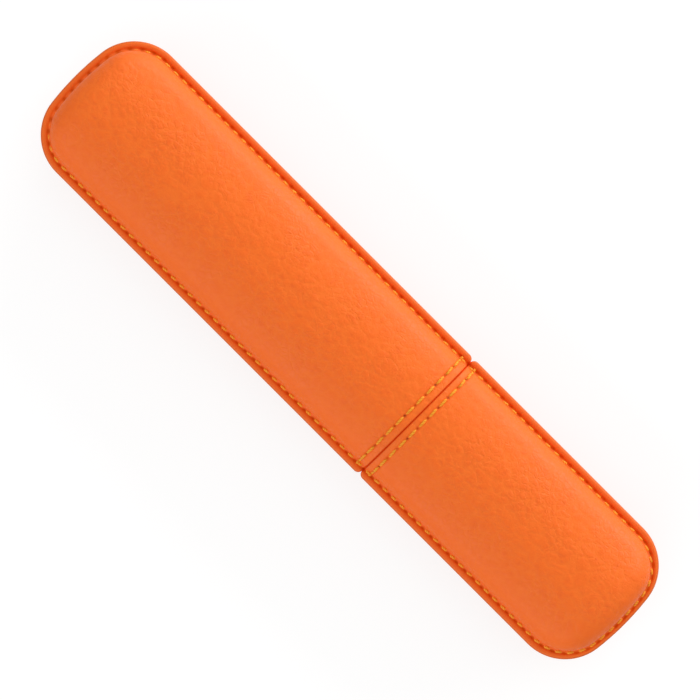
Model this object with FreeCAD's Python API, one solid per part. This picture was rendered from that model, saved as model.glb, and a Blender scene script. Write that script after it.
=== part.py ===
import FreeCAD, Part
import math
import os

# Single pen sleeve: a long body half and a short cap half, both of moulded leather panels sewn round a flat edge.
# X runs along the case with the cap at +X, Y across it, Z up. The closed case lies on its back at z = 0,
# with its middle over the origin. Lengths are in millimetres.

# Closed case
case_length = 165.0
case_width = 34.8
case_thickness = 21.0
body_length = 102.2
mouth_gap = 0.3

# Outline of the sewn edge
corner_radius = 11.3
end_arc_radius = 62.0
mouth_corner_radius = 1.2
edge_round = 0.5
side_edge_width = 1.95
body_end_edge_width = 1.9
cap_end_edge_width = 1.5

# Crown of the moulded form, which falls by the drop from its flat band to the line of the side walls
crown_flat_width = 2.0
crown_drop = 4.84
crown_arc_degrees = 60.0
shoulder_radius = 6.0

# Layers of a panel, from the outside in
leather_thickness = 1.0
stiffener_thickness = 0.5
lining_thickness = 0.3
glue_line = 0.1

# Inner sleeve that the cap slides over
sleeve_clearance = 0.3
sleeve_cover_thickness = 0.4
sleeve_core_thickness = 0.5
sleeve_lining_thickness = 0.3
sleeve_seat_length = 45.0
cap_end_room = 24.8
sleeve_fold_depth = 6.0

# Sewing
thread_width = 0.6
thread_height = 0.4
thread_shoulder = 0.15
stitch_length = 1.65
stitch_pitch = 2.53
seam_offset = 0.48
mouth_stitch_length = 2.4
mouth_stitch_pitch = 3.0
mouth_seam_margin = 1.75
groove_width = 0.9
groove_depth = 0.45

# Cuts run past the faces that they open by the overrun, and places or directions closer than near count as equal
overrun = 2.0
near = 1.0e-6

# Worked out
cap_length = case_length - body_length - mouth_gap
half_thickness = case_thickness / 2
edge_thickness = lining_thickness + leather_thickness
crown_reach = case_width / 2 - side_edge_width - crown_flat_width / 2
crown_radius = (crown_reach ** 2 + crown_drop ** 2) / (2 * crown_drop)
stiffener_inset = leather_thickness + glue_line
lining_inset = stiffener_inset + stiffener_thickness + glue_line
cavity_inset = lining_inset + lining_thickness
sleeve_inset = cavity_inset + sleeve_clearance
sleeve_core_inset = sleeve_inset + sleeve_cover_thickness + glue_line
sleeve_lining_inset = sleeve_core_inset + sleeve_core_thickness + glue_line
sleeve_bore_inset = sleeve_lining_inset + sleeve_lining_thickness
body_mouth_x = body_length - case_length / 2
cap_mouth_x = body_mouth_x + mouth_gap
sleeve_start_x = body_mouth_x - sleeve_seat_length
sleeve_end_x = case_length / 2 - cap_end_room

origin = FreeCAD.Vector(0, 0, 0)
x_axis = FreeCAD.Vector(1, 0, 0)
y_axis = FreeCAD.Vector(0, 1, 0)
z_axis = FreeCAD.Vector(0, 0, 1)
half_turn = 180.0


# Each half is drawn with its mouth at x = 0, its closed end towards +x and its seam plane at z = 0

def chain(curves):
    """Edges of a list of curves, in order."""
    return [curve.toShape() for curve in curves]


def filled(curves):
    """Flat face inside a closed list of curves."""
    return Part.Face(Part.Wire(chain(curves)))


def side_and_end_curves(half_width, end, round_corner, end_bow, start):
    """From one side of the mouth along the side, round the bowed closed end and back along the other side."""
    bow_centre = end - end_bow
    corner_y = half_width - round_corner
    corner_x = bow_centre + math.sqrt((end_bow - round_corner) ** 2 - corner_y ** 2)
    meet_angle = math.atan2(corner_y, corner_x - bow_centre)
    middle_angle = (meet_angle + math.pi / 2) / 2
    meet_x = bow_centre + end_bow * math.cos(meet_angle)
    meet_y = end_bow * math.sin(meet_angle)
    middle_x = corner_x + round_corner * math.cos(middle_angle)
    middle_y = corner_y + round_corner * math.sin(middle_angle)

    def corner(side):
        return FreeCAD.Vector(corner_x, side * half_width, 0)

    def middle(side):
        return FreeCAD.Vector(middle_x, side * middle_y, 0)

    def meet(side):
        return FreeCAD.Vector(meet_x, side * meet_y, 0)

    return [
        Part.LineSegment(FreeCAD.Vector(start, half_width, 0), corner(1)),
        Part.Arc(corner(1), middle(1), meet(1)),
        Part.Arc(meet(1), FreeCAD.Vector(end, 0, 0), meet(-1)),
        Part.Arc(meet(-1), middle(-1), corner(-1)),
        Part.LineSegment(corner(-1), FreeCAD.Vector(start, -half_width, 0)),
    ]


def form_plan(length, end_edge_width, inset, start):
    """Plan of the moulded form, or of a layer that lies inset from its surface."""
    side_inset = side_edge_width + inset
    end_inset = end_edge_width + inset
    half_width = case_width / 2 - side_inset
    curves = side_and_end_curves(
        half_width, length - end_inset, corner_radius - side_inset, end_arc_radius - end_inset, start
    )
    mouth_line = Part.LineSegment(FreeCAD.Vector(start, -half_width, 0), FreeCAD.Vector(start, half_width, 0))
    return filled(curves + [mouth_line])


def edge_plan(length):
    """Plan of the sewn edge, with its corners rounded at the mouth."""
    half_width = case_width / 2
    inner_y = half_width - mouth_corner_radius
    bulge = mouth_corner_radius * (1 - math.cos(math.pi / 4))
    curves = side_and_end_curves(half_width, length, corner_radius, end_arc_radius, mouth_corner_radius)

    def corner_arc(side):
        return Part.Arc(
            FreeCAD.Vector(0, side * inner_y, 0),
            FreeCAD.Vector(bulge, side * (half_width - bulge), 0),
            FreeCAD.Vector(mouth_corner_radius, side * half_width, 0),
        )

    mouth_line = Part.LineSegment(FreeCAD.Vector(0, -inner_y, 0), FreeCAD.Vector(0, inner_y, 0))
    return filled([corner_arc(1)] + curves + [corner_arc(-1), mouth_line])


def crown_bar(length, inset):
    """Bar along the half whose top is the crown: a flat band between two wide arcs."""
    flat = crown_flat_width / 2
    top = half_thickness - inset
    radius = crown_radius - inset
    sweep = math.radians(crown_arc_degrees)

    def on_arc(side, angle):
        y = side * (flat + radius * math.sin(angle))
        return FreeCAD.Vector(-overrun, y, top - radius + radius * math.cos(angle))

    def foot(side):
        return FreeCAD.Vector(-overrun, on_arc(side, sweep).y, -case_thickness)

    section = filled([
        Part.LineSegment(on_arc(-1, 0), on_arc(1, 0)),
        Part.Arc(on_arc(1, 0), on_arc(1, sweep / 2), on_arc(1, sweep)),
        Part.LineSegment(on_arc(1, sweep), foot(1)),
        Part.LineSegment(foot(1), foot(-1)),
        Part.LineSegment(foot(-1), on_arc(-1, sweep)),
        Part.Arc(on_arc(-1, sweep), on_arc(-1, sweep / 2), on_arc(-1, 0)),
    ])
    return section.extrude(x_axis * (length + overrun))


def middle_normal(face):
    """Outward direction in the middle of a face."""
    u_low, u_high, v_low, v_high = face.ParameterRange
    return face.normalAt((u_low + u_high) / 2, (v_low + v_high) / 2)


def shoulder_edges(solid):
    """Edges where the crown meets the side and end walls."""
    chosen = []
    for edge in solid.Edges:
        normals = [middle_normal(face) for face in solid.ancestorsOfType(edge, Part.Face)]
        crowned = any(normal.z > near for normal in normals)
        walled = any(abs(normal.z) < near and normal.x > -near for normal in normals)
        if crowned and walled:
            chosen.append(edge)
    return chosen


def moulded_form(length, end_edge_width, inset, bottom):
    """Solid under the moulded surface, or under a layer inset from it, open past the mouth."""
    plan = form_plan(length, end_edge_width, inset, -overrun)
    plan.translate(z_axis * bottom)
    column = plan.extrude(z_axis * case_thickness)
    solid = column.common(crown_bar(length, inset)).Solids[0]
    return solid.makeFillet(shoulder_radius - inset, shoulder_edges(solid))


# The section across the case, for the inner sleeve and the rows of stitches at the mouths

def crown_curves(inset, x, foot):
    """Upper section at inset, from the foot of the -y wall over the crown to the foot of the +y wall."""
    flat = crown_flat_width / 2
    top = half_thickness - inset
    radius = crown_radius - inset
    shoulder = shoulder_radius - inset
    half_width = case_width / 2 - side_edge_width - inset
    shoulder_y = half_width - shoulder
    turn = math.asin((shoulder_y - flat) / (radius - shoulder))
    shoulder_z = top - radius + (radius - shoulder) * math.cos(turn)
    shoulder_middle = (turn + math.pi / 2) / 2

    def on_crown(side, angle):
        return FreeCAD.Vector(x, side * (flat + radius * math.sin(angle)), top - radius + radius * math.cos(angle))

    def on_shoulder(side, angle):
        y = side * (shoulder_y + shoulder * math.sin(angle))
        return FreeCAD.Vector(x, y, shoulder_z + shoulder * math.cos(angle))

    def wall_top(side):
        return on_shoulder(side, math.pi / 2)

    def wall_foot(side):
        return FreeCAD.Vector(x, side * half_width, foot)

    return [
        Part.LineSegment(wall_foot(-1), wall_top(-1)),
        Part.Arc(wall_top(-1), on_shoulder(-1, shoulder_middle), on_shoulder(-1, turn)),
        Part.Arc(on_crown(-1, turn), on_crown(-1, turn / 2), on_crown(-1, 0)),
        Part.LineSegment(on_crown(-1, 0), on_crown(1, 0)),
        Part.Arc(on_crown(1, 0), on_crown(1, turn / 2), on_crown(1, turn)),
        Part.Arc(on_shoulder(1, turn), on_shoulder(1, shoulder_middle), wall_top(1)),
        Part.LineSegment(wall_top(1), wall_foot(1)),
    ]


def tube_solid(inset, start, end):
    """Full section of the case at inset, drawn out from start to end along x."""
    upper = Part.Wire(chain(crown_curves(inset, start, 0)))
    lower = upper.mirror(origin, z_axis)
    section = Part.Face(Part.Wire([upper, lower]))
    return section.extrude(x_axis * (end - start))


def mouth_trim(shape):
    """Shape with all that stands out past the mouth plane cut off."""
    reach = case_length
    keep = Part.makeBox(reach, reach, reach, FreeCAD.Vector(0, -reach / 2, -reach / 2))
    return shape.common(keep).Solids[0]


def edge_plate(length, bottom, thickness, rounded):
    """Flat sewn edge, whole under the form, with its upper outer edge rounded where it shows."""
    plan = edge_plan(length)
    plan.translate(z_axis * bottom)
    plate = plan.extrude(z_axis * thickness)
    if not rounded:
        return plate
    rim = [edge for edge in plate.Edges if edge.BoundBox.ZMin > bottom + thickness - near]
    return plate.makeFillet(edge_round, rim)


def mouth_groove():
    """Shallow channel across the crown that the row of stitches at the mouth lies in."""
    start = mouth_seam_margin - groove_width / 2
    band = Part.makeBox(
        groove_width, case_width, case_thickness, FreeCAD.Vector(start, -case_width / 2, edge_thickness)
    )
    return band.cut(tube_solid(groove_depth, 0, mouth_seam_margin + groove_width))


def leather_panel(length, end_edge_width):
    """Moulded outer panel with its flat edge, which lies on the lining's edge."""
    solid = edge_plate(length, lining_thickness, leather_thickness, True)
    solid = solid.fuse(moulded_form(length, end_edge_width, 0, lining_thickness))
    solid = solid.cut(moulded_form(length, end_edge_width, leather_thickness, 0))
    solid = solid.cut(mouth_groove())
    return mouth_trim(solid)


def stiffener_panel(length, end_edge_width):
    """Thin board glued under the leather's moulded part."""
    outer = moulded_form(length, end_edge_width, stiffener_inset, lining_thickness)
    inner = moulded_form(length, end_edge_width, stiffener_inset + stiffener_thickness, 0)
    return mouth_trim(outer.cut(inner))


def lining_panel(length, end_edge_width):
    """Innermost layer, whose flat edge is sewn in between the two leathers."""
    solid = edge_plate(length, 0, lining_thickness, False)
    solid = solid.fuse(moulded_form(length, end_edge_width, lining_inset, 0))
    solid = solid.cut(moulded_form(length, end_edge_width, cavity_inset, -overrun))
    return mouth_trim(solid)


# Inner sleeve

def tube_wall(outer_inset, inner_inset, start, end):
    """Open tube between two insets."""
    bore = tube_solid(inner_inset, start - overrun, end + overrun)
    return tube_solid(outer_inset, start, end).cut(bore)


def sleeve_cover():
    """Leather round the outside of the sleeve, turned in over its mouth."""
    wrap = tube_wall(sleeve_inset, sleeve_core_inset - glue_line, sleeve_start_x, sleeve_end_x)
    rim = tube_wall(sleeve_inset, sleeve_bore_inset, sleeve_end_x - sleeve_cover_thickness, sleeve_end_x)
    fold = tube_wall(sleeve_lining_inset, sleeve_bore_inset, sleeve_end_x - sleeve_fold_depth, sleeve_end_x)
    return wrap.fuse([rim, fold]).removeSplitter()


def sleeve_core():
    """Board tube that keeps the sleeve open."""
    end = sleeve_end_x - sleeve_cover_thickness - glue_line
    return tube_wall(sleeve_core_inset, sleeve_lining_inset - glue_line, sleeve_start_x, end)


def sleeve_lining():
    """Lining inside the sleeve, up to the turned-in cover."""
    end = sleeve_end_x - sleeve_fold_depth - glue_line
    return tube_wall(sleeve_lining_inset, sleeve_bore_inset, sleeve_start_x, end)


# Sewing

def point_along(edges, distance):
    """Point at a distance along a chain of edges."""
    for edge in edges:
        if distance <= edge.Length:
            return edge.valueAt(edge.getParameterByLength(distance))
        distance -= edge.Length
    return edges[-1].valueAt(edges[-1].LastParameter)


def stitch_ends(edges, pitch, length):
    """Both ends of each stitch of a row that fills a chain of edges evenly."""
    total = sum(edge.Length for edge in edges)
    count = round(total / pitch)
    spacing = total / count
    ends = []
    for number in range(count):
        middle = (number + 1 / 2) * spacing
        ends.append((point_along(edges, middle - length / 2), point_along(edges, middle + length / 2)))
    return ends


def upright_plate(outline, start, along, inward):
    """Thread-wide plate with an outline given as places along the stitch and inward from its top."""
    across = along.cross(inward)
    corners = [start + along * far + inward * deep - across * (thread_width / 2) for far, deep in outline]
    face = Part.Face(Part.makePolygon(corners + corners[:1]))
    return face.extrude(across * thread_width)


def stitch_bar_outline(length):
    """Top of a stitch, bevelled at both ends, as a list that runs down to where the legs start."""
    return [(0, thread_shoulder), (thread_shoulder, 0), (length - thread_shoulder, 0), (length, thread_shoulder)]


def edge_stitch(start, end):
    """Closed loop through both sewn edges, with a bar on the front and one on the back."""
    along = end - start
    length = along.Length
    along.normalize()
    height = 2 * (edge_thickness + thread_height)
    top = start + z_axis * (height / 2)
    upper = stitch_bar_outline(length)
    lower = [(far, height - deep) for far, deep in reversed(upper)]
    window = [
        (thread_width, thread_height),
        (length - thread_width, thread_height),
        (length - thread_width, height - thread_height),
        (thread_width, height - thread_height),
    ]
    loop = upright_plate(upper + lower, top, along, -z_axis)
    return loop.cut(upright_plate(window, top, along, -z_axis))


def edge_thread(length, end_edge_width):
    """Stitches round the sewn edge of a half, at the foot of its moulded form."""
    side_inset = side_edge_width - seam_offset
    end_inset = end_edge_width - seam_offset
    seam = chain(side_and_end_curves(
        case_width / 2 - side_inset, length - end_inset, corner_radius - side_inset, end_arc_radius - end_inset, 0
    ))
    return [edge_stitch(start, end) for start, end in stitch_ends(seam, stitch_pitch, stitch_length)]


def mouth_stitch(start, end, depth):
    """Staple in the groove, with its legs through the layers under it."""
    along = end - start
    length = along.Length
    along.normalize()
    inward = along.cross(x_axis)
    window_top = thread_height
    outline = stitch_bar_outline(length) + [
        (length, depth),
        (length - thread_width, depth),
        (length - thread_width, window_top),
        (thread_width, window_top),
        (thread_width, depth),
        (0, depth),
    ]
    return upright_plate(outline, start, along, inward)


def mouth_thread(depth):
    """Row of stitches over the crown, set back from the mouth, in the leather's groove."""
    top_inset = groove_depth - thread_height
    row = chain(crown_curves(top_inset, mouth_seam_margin, edge_thickness))
    return [
        mouth_stitch(start, end, depth - top_inset)
        for start, end in stitch_ends(row, mouth_stitch_pitch, mouth_stitch_length)
    ]


# Assembly

def placed(shape, half, side):
    """Shape of a half, brought to its place in the closed case."""
    result = shape.copy()
    if side == "back":
        result.rotate(origin, x_axis, half_turn)
    if half == "body":
        result.rotate(origin, z_axis, half_turn)
    mouth_x = body_mouth_x if half == "body" else cap_mouth_x
    result.translate(FreeCAD.Vector(mouth_x, 0, half_thickness))
    return result


def half_nodes(half, length, end_edge_width, sewn_depth):
    """Named pieces of one half."""
    panels = {
        "leather": leather_panel(length, end_edge_width),
        "stiffener": stiffener_panel(length, end_edge_width),
        "lining": lining_panel(length, end_edge_width),
        "mouth_thread": Part.makeCompound(mouth_thread(sewn_depth)),
    }
    nodes = {}
    for side in ("front", "back"):
        for layer, shape in panels.items():
            nodes[f"{half}_{side}_{layer}"] = placed(shape, half, side)
    loops = Part.makeCompound(edge_thread(length, end_edge_width))
    nodes[f"{half}_edge_thread"] = placed(loops, half, "front")
    return nodes


def sleeve_nodes():
    """Named pieces of the inner sleeve, which stays in the body half."""
    nodes = {"sleeve_cover": sleeve_cover(), "sleeve_core": sleeve_core(), "sleeve_lining": sleeve_lining()}
    for shape in nodes.values():
        shape.translate(z_axis * half_thickness)
    return nodes


def build():
    """All nodes of the closed case."""
    body_sewn_depth = sleeve_core_inset + sleeve_core_thickness / 2
    cap_sewn_depth = lining_inset + lining_thickness / 2
    nodes = half_nodes("body", body_length, body_end_edge_width, body_sewn_depth)
    nodes.update(half_nodes("cap", cap_length, cap_end_edge_width, cap_sewn_depth))
    nodes.update(sleeve_nodes())
    return nodes


os.makedirs("parts", exist_ok=True)
for node_name, node_shape in build().items():
    node_shape.exportStep(f"parts/{node_name}.step")
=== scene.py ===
import math
import random
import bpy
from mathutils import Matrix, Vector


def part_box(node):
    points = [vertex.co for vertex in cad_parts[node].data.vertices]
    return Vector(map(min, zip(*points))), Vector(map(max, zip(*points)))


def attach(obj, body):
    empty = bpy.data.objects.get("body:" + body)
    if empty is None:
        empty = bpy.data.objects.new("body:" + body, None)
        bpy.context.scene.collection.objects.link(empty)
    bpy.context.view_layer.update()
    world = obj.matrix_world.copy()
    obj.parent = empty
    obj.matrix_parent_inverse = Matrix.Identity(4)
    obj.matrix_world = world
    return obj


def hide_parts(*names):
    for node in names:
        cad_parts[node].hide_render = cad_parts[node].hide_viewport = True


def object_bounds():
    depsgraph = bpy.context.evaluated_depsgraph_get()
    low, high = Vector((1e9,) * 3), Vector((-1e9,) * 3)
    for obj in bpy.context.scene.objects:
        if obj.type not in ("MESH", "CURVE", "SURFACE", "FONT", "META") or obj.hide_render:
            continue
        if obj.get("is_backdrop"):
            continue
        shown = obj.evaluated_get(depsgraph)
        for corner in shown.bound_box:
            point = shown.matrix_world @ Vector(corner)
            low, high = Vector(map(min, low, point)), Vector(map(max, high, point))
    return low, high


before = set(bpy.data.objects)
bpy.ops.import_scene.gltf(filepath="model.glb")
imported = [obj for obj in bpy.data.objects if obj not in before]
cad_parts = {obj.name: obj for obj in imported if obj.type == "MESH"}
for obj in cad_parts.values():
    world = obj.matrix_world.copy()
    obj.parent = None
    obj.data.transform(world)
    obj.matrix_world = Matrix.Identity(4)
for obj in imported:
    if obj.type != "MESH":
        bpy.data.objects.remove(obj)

from types import SimpleNamespace

import bmesh
import bpy
import numpy as np
from bpy.props import FloatProperty, FloatVectorProperty, PointerProperty
from mathutils import Matrix, Vector, noise

bl_info = {
    "name": "Pen sleeve",
    "version": (1, 0, 0),
    "blender": (4, 5, 0),
    "location": "View3D > Sidebar > Pen sleeve",
    "description": "Leather, linings, sewing and studio of a single pen sleeve, around its packed frame",
    "category": "Object",
}

CAD_LOW, CAD_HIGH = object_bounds()
SEAM_Z = (CAD_LOW.z + CAD_HIGH.z) / 2
HALVES = ("body", "cap")
SIDES = ("front", "back")
UP = Vector((0, 0, 1))
MERGE_DISTANCE = 1.0e-6
SHARP_ANGLE = math.radians(50)

# Places tried for the ball that rolls under the crown, and points of a section before it is spaced evenly
BALL_PLACES = 241
FINE_POINTS = 400

# Length up a panel's wall and over its shoulder, and from there to the grid over its crown, which the mesh
# steps on the leather's face divide, and rows of the mesh on the other faces
WALL_REACH, CROWN_REACH = 0.0115, 0.0045
LEATHER_BACK_ROWS = (8, 3)
LINING_ROWS = (10, 5)

# Marks that a panel's mesh carries while it is shaped
FACE_MARKS = ("from_foot", "along_seam", "across_crown", "on_face", "edge_paint")

# Seeds of the needle holes, the edge stitches, the rows at the mouths and the grain, and the grain's shift
# from half to half and from side to side
HOLE_SEED, EDGE_SEED, ROW_SEED, GRAIN_SEED = 3, 7, 11, 5
GRAIN_SHIFT = Vector((31.0, 57.0, 11.0))

# Sockets of a colour Mix node, whose names repeat for each kind of data
MIX_FACTOR, MIX_A, MIX_B, MIX_RESULT = 0, 6, 7, 2

# Where most values of a noise texture lie, and most heights of the leather's grain
NOISE_SPAN = (0.3, 0.7)
GRAIN_SPAN = (0.2, 1.4)


# What a user would change

def length_of(name, description, default):
    """Length property in metres."""
    return FloatProperty(name=name, description=description, default=default, unit="LENGTH", precision=5)


def share_of(name, description, default):
    """Share property from 0 to 1."""
    return FloatProperty(
        name=name, description=description, default=default, min=0, max=1, subtype="FACTOR"
    )


def angle_of(name, description, degrees):
    """Angle property, set in degrees."""
    return FloatProperty(name=name, description=description, default=math.radians(degrees), subtype="ANGLE")


def power_of(name, description, default):
    """Lamp power property in watts."""
    return FloatProperty(name=name, description=description, default=default, unit="POWER")


def place_of(name, description, default):
    """Place property in metres."""
    return FloatVectorProperty(
        name=name, description=description, default=default, unit="LENGTH", subtype="TRANSLATION"
    )


def colour_of(name, description, default):
    """Linear colour property."""
    return FloatVectorProperty(
        name=name, description=description, default=default, size=4, min=0, max=1, subtype="COLOR"
    )


class FormSizes(bpy.types.PropertyGroup):
    """Outline and crown of the moulded halves"""

    corner_radius: length_of("Corner radius", "Round corner of the closed end's outline", 0.0113)
    end_arc_radius: length_of("End arc radius", "Bow of the closed end's outline", 0.062)
    mouth_corner_radius: length_of("Mouth corner radius", "Round corner of the edge at the mouth", 0.0012)
    side_edge_width: length_of("Side edge width", "Sewn edge beside the moulded form", 0.00195)
    body_end_edge_width: length_of("Body end edge width", "Sewn edge at the body's closed end", 0.0019)
    cap_end_edge_width: length_of("Cap end edge width", "Sewn edge at the cap's closed end", 0.0015)
    crown_flat_width: length_of("Crown flat width", "Level band along the top of the crown", 0.002)
    crown_radius: length_of("Crown radius", "Wide arc beside the level band", 0.024)
    shoulder_radius: length_of("Shoulder radius", "Round between the crown and the walls", 0.006)
    leather_thickness: length_of("Leather thickness", "Outer panels", 0.001)
    lining_thickness: length_of("Lining thickness", "Linings of the two halves", 0.0003)
    lining_inset: length_of("Lining inset", "From the leather's face to the lining's back", 0.0017)
    edge_round: length_of("Edge round", "Round of the painted outer edge", 0.0006)
    edge_lip: length_of("Edge lip", "Paint that covers the lining's edge", 0.0004)
    foot_draw: length_of("Foot draw", "How far the sewing draws the form's foot in", 0.00025)
    foot_fade: length_of("Foot fade", "From the form's foot up to full grain", 0.00128)
    seam_depth: length_of("Seam depth", "How far the sewing pulls the edge in", 0.00025)
    groove_offset: length_of("Groove offset", "From the form's foot out to the channel's middle", 0.0006)
    seam_half_width: length_of("Seam half width", "Half of the channel that the sewing pulls in", 0.00032)
    mouth_roll: length_of("Mouth roll", "Round of the leather's edge at the mouth", 0.0004)
    body_mouth_swell: length_of("Body mouth swell", "How far the body's edge stands proud", 0.000248)
    cap_mouth_swell: length_of("Cap mouth swell", "How far the cap's edge stands proud", 0.000048)


class LeatherFinish(bpy.types.PropertyGroup):
    """Colours and grain of the outer leather"""

    colour: colour_of("Colour", "Face of the leather", (0.92, 0.141, 0.003, 1))
    # Line colour: a painted highlight along the lines between the pebbles and over the sewn edge
    line_colour: colour_of("Line colour", "Worn lines between the pebbles", (0.95, 0.180, 0.010, 1))
    # Pore colour: painted shade in the pores, and darker cloudy patches that vary at random
    pore_colour: colour_of("Pore colour", "Darker pores and patches", (0.85, 0.115, 0.003, 1))
    # Seam colour: painted shade in the sewn channel, in the gaps between the stitches and where the mouths
    # meet, over leather that the sewing also draws down
    seam_colour: colour_of("Seam colour", "Leather drawn down by the sewing", (0.58, 0.062, 0.002, 1))
    edge_colour: colour_of("Edge colour", "Painted edges", (0.72, 0.125, 0.008, 1))
    # Mouth colour: painted shade on the rolled edges where the two mouths meet across their gap
    mouth_colour: colour_of("Mouth colour", "Edges that face each other", (0.83, 0.060, 0.0018, 1))
    gloss: share_of("Gloss", "Reflection of the leather's face", 0.36)
    drawn_gloss: share_of("Drawn gloss", "Reflection of the leather drawn down by the sewing", 0.08)
    drawn_from: share_of("Drawn from", "Seam shade from which leather counts as drawn down", 0.14)
    mesh_step: length_of("Mesh step", "Spacing of the vertices on the face", 0.0003)
    pebble_size: length_of("Pebble size", "Width of the grain's pebbles", 0.0025)
    pebble_depth: length_of("Pebble depth", "Depth of the valleys between them", 0.00013)
    pore_size: length_of("Pore size", "Spacing of the pores", 0.0011)
    pore_depth: length_of("Pore depth", "Depth of the pores", 0.00004)
    crease_size: length_of("Crease size", "Spacing of the long fine creases", 0.006)
    crease_depth: length_of("Crease depth", "Depth of the long fine creases", 0.000015)
    wrinkle_size: length_of("Wrinkle size", "Spacing of the soft wrinkles", 0.0045)
    wrinkle_depth: length_of("Wrinkle depth", "Depth of the soft wrinkles", 0.00004)
    pucker_depth: length_of("Pucker depth", "Swell of the form's foot between the holes", 0.00006)


class SewingFinish(bpy.types.PropertyGroup):
    """Thread and stitches"""

    colour: colour_of("Colour", "Lit face of the thread", (0.90, 0.36, 0.020, 1))
    shade_colour: colour_of("Shade colour", "Between the thread's strands", (0.77, 0.25, 0.012, 1))
    # Hole colour: painted shade in the needle holes
    hole_colour: colour_of("Hole colour", "Depth of a needle hole", (0.16, 0.016, 0.004, 1))
    thread_width: length_of("Thread width", "Across a stitch", 0.0006)
    thread_height: length_of("Thread height", "Thickness of a stitch", 0.00045)
    edge_pitch: length_of("Edge pitch", "From stitch to stitch round the sewn edge", 0.00253)
    edge_stitch_length: length_of("Edge stitch length", "Length of such a stitch", 0.0017)
    edge_thread_width: length_of("Edge thread width", "Across such a stitch", 0.0007)
    edge_slant: angle_of("Edge slant", "Turn of such a stitch from the line of the seam", 5)
    edge_stitch_bow: length_of("Edge stitch bow", "How far it bows towards the form", 0.00005)
    end_sink: length_of("End sink", "How much deeper it lies at the body's closed end", 0.0003)
    end_shift: length_of("End shift", "How much farther out it lies at the cap's closed end", 0.0002)
    seam_offset: length_of("Seam offset", "From the form's foot out to the needle holes", 0.000295)
    seam_lean: length_of("Seam lean", "How far the holes lie off that line, towards -Y", 0.0001)
    mouth_pitch: length_of("Mouth pitch", "From stitch to stitch along a mouth", 0.0031)
    mouth_stitch_length: length_of("Mouth stitch length", "Length of such a stitch", 0.0025)
    mouth_margin: length_of("Mouth margin", "From the mouth to its row of stitches", 0.00175)
    mouth_depth: length_of("Mouth depth", "How far the row is drawn in", 0.0003)
    mouth_half_width: length_of("Mouth half width", "Half of the row's channel", 0.0004)
    needle_radius: length_of("Needle radius", "Dimple round a needle hole", 0.0003)
    needle_depth: length_of("Needle depth", "Depth of such a dimple", 0.0002)


class InsideFinish(bpy.types.PropertyGroup):
    """Linings, boards and the inner sleeve"""

    suede_colour: colour_of("Suede colour", "Linings", (0.46, 0.27, 0.13, 1))
    suede_shade_colour: colour_of("Suede shade colour", "Brushed nap", (0.30, 0.165, 0.075, 1))
    board_colour: colour_of("Board colour", "Stiffeners and the sleeve's core", (0.36, 0.29, 0.22, 1))
    board_fleck_colour: colour_of("Board fleck colour", "Fibres in the board", (0.22, 0.17, 0.12, 1))
    sleeve_colour: colour_of("Sleeve colour", "Leather round the inner sleeve", (0.74, 0.11, 0.010, 1))
    lining_mesh_step: length_of("Lining mesh step", "Spacing of the linings' vertices", 0.0012)
    sleeve_mesh_step: length_of("Sleeve mesh step", "Spacing of the sleeve's vertices", 0.0006)
    sleeve_fold_depth: length_of("Sleeve fold depth", "Leather turned in at its mouth", 0.006)
    sleeve_cover_thickness: length_of("Sleeve cover thickness", "Leather of the sleeve", 0.0004)


class StageSetup(bpy.types.PropertyGroup):
    """Floor, light and camera"""

    floor_colour: colour_of("Floor colour", "Plain pale floor", (0.3, 0.3, 0.3, 1))
    floor_glow: share_of("Floor glow", "What the camera sees the floor lighter by", 0.76)
    floor_size: length_of("Floor size", "Side of the square floor", 8.0)
    key_place: place_of("Key place", "Soft light on the +Y side", (0.0, 0.92, 0.2))
    key_power: power_of("Key power", "Power of that light", 11.2)
    fill_place: place_of("Fill place", "Soft light on the -Y side", (0.0, -0.85, 0.45))
    fill_power: power_of("Fill power", "Power of that light", 4.25)
    softbox_width: length_of("Softbox width", "Long side of both lights", 1.3)
    softbox_height: length_of("Softbox height", "Short side of both lights", 0.5)
    sky_strength: FloatProperty(name="Sky strength", description="Even light from all round", default=0.6)
    view_width: length_of("View width", "What the camera sees at the seam plane", 0.14889)
    camera_height: length_of("Camera height", "From the seam plane up to the camera", 1.0)
    camera_side: length_of("Camera side", "How far the camera stands to the +Y side", 0.00008)
    camera_turn: angle_of("Camera turn", "Turn of the camera about its own line of sight", 45)


class PenSleeveSettings(bpy.types.PropertyGroup):
    """All settings of the pen sleeve"""

    form: PointerProperty(type=FormSizes)
    leather: PointerProperty(type=LeatherFinish)
    sewing: PointerProperty(type=SewingFinish)
    inside: PointerProperty(type=InsideFinish)
    stage: PointerProperty(type=StageSetup)


# Lengths, eases and spacings

def run_length(points):
    """Length along a line of points, at each of them."""
    steps = np.linalg.norm(np.diff(points, axis=0), axis=1)
    return np.concatenate([[0.0], np.cumsum(steps)])


def at_length(points, lengths, wanted):
    """Places at the wanted lengths along a line of points."""
    return np.stack([np.interp(wanted, lengths, values) for values in points.T], axis=-1)


def bell(value):
    """1 at nought, falling away to both sides."""
    return np.exp(-np.square(value))


def ease_between(value, start, end):
    """0 before start, 1 after end and a smooth climb between them."""
    share = np.clip((value - start) / (end - start), 0, 1)
    return share * share * (3 - 2 * share)


def varied(dice, count):
    """Value up to 1 for the whole number nearest to each count, drawn once for each of them."""
    least = 0.2
    index = np.round(count).astype(int)
    index = index - index.min()
    draws = np.array([dice.uniform(least, 1) for _ in range(index.max() + 1)])
    return draws[index]


def to_nearest(value, spacing):
    """Distance to the nearest whole number of spacings."""
    return np.abs(value - np.round(value / spacing) * spacing)


def even_spacing(total, pitch):
    """Number of stitches that fit a length at about the pitch, and their spacing."""
    count = round(total / pitch)
    return count, total / count


def spaced(start, end, step):
    """Even places from start to end, about a step apart."""
    return np.linspace(start, end, math.ceil(abs(end - start) / step) + 1)


# Plan and section of the two halves

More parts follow.
